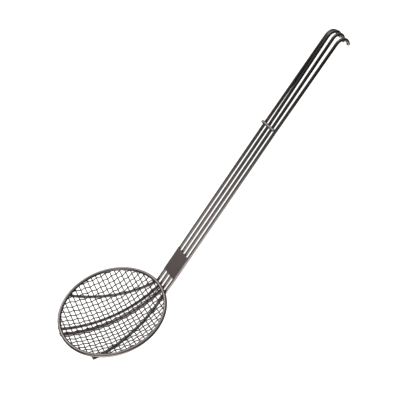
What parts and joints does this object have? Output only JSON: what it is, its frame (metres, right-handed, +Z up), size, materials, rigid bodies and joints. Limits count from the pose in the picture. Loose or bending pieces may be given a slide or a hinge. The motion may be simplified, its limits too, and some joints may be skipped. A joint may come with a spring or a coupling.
{
  "type": "mesh skimmer",
  "caption": "Long-handled mesh skimmer: a woven wire dish in a round rod ring, carried on ribs that run on as a rod handle with a flat plate, a tie bar and hanging hooks.",
  "frame": {"origin": "middle of the bounding box at its underside, where the skimmer lies on a table on its rod bends and hook tips", "axes": "+X along the handle from the dish towards the hooks, +Z up from the table, +Y across the handle"},
  "size_m": [0.583, 0.1654, 0.1113],
  "materials": {
    "rod_steel": "dull plated rod",
    "wire_steel": "dull plated wire",
    "plate_steel": "dull plated sheet",
    "tie_steel": "bright plated rod"
  },
  "bodies": {
    "root": {"rim_ring": "rod_steel", "rod_1": "rod_steel", "rod_2": "rod_steel", "rod_3": "rod_steel", "rod_4": "rod_steel", "handle_plate": "plate_steel", "tie_bar": "tie_steel", "long_wire_01": "wire_steel", "long_wire_02": "wire_steel", "long_wire_03": "wire_steel", "long_wire_04": "wire_steel", "long_wire_05": "wire_steel", "long_wire_06": "wire_steel", "long_wire_07": "wire_steel", "long_wire_08": "wire_steel", "long_wire_09": "wire_steel", "long_wire_10": "wire_steel", "long_wire_11": "wire_steel", "long_wire_12": "wire_steel", "long_wire_13": "wire_steel", "long_wire_14": "wire_steel", "long_wire_15": "wire_steel", "long_wire_16": "wire_steel", "long_wire_17": "wire_steel", "long_wire_18": "wire_steel", "long_wire_19": "wire_steel", "long_wire_20": "wire_steel", "long_wire_21": "wire_steel", "cross_wire_01": "wire_steel", "cross_wire_02": "wire_steel", "cross_wire_03": "wire_steel", "cross_wire_04": "wire_steel", "cross_wire_05": "wire_steel", "cross_wire_06": "wire_steel", "cross_wire_07": "wire_steel", "cross_wire_08": "wire_steel", "cross_wire_09": "wire_steel", "cross_wire_10": "wire_steel", "cross_wire_11": "wire_steel", "cross_wire_12": "wire_steel", "cross_wire_13": "wire_steel", "cross_wire_14": "wire_steel", "cross_wire_15": "wire_steel", "cross_wire_16": "wire_steel", "cross_wire_17": "wire_steel", "cross_wire_18": "wire_steel", "cross_wire_19": "wire_steel", "cross_wire_20": "wire_steel", "cross_wire_21": "wire_steel"}
  },
  "joints": []
}
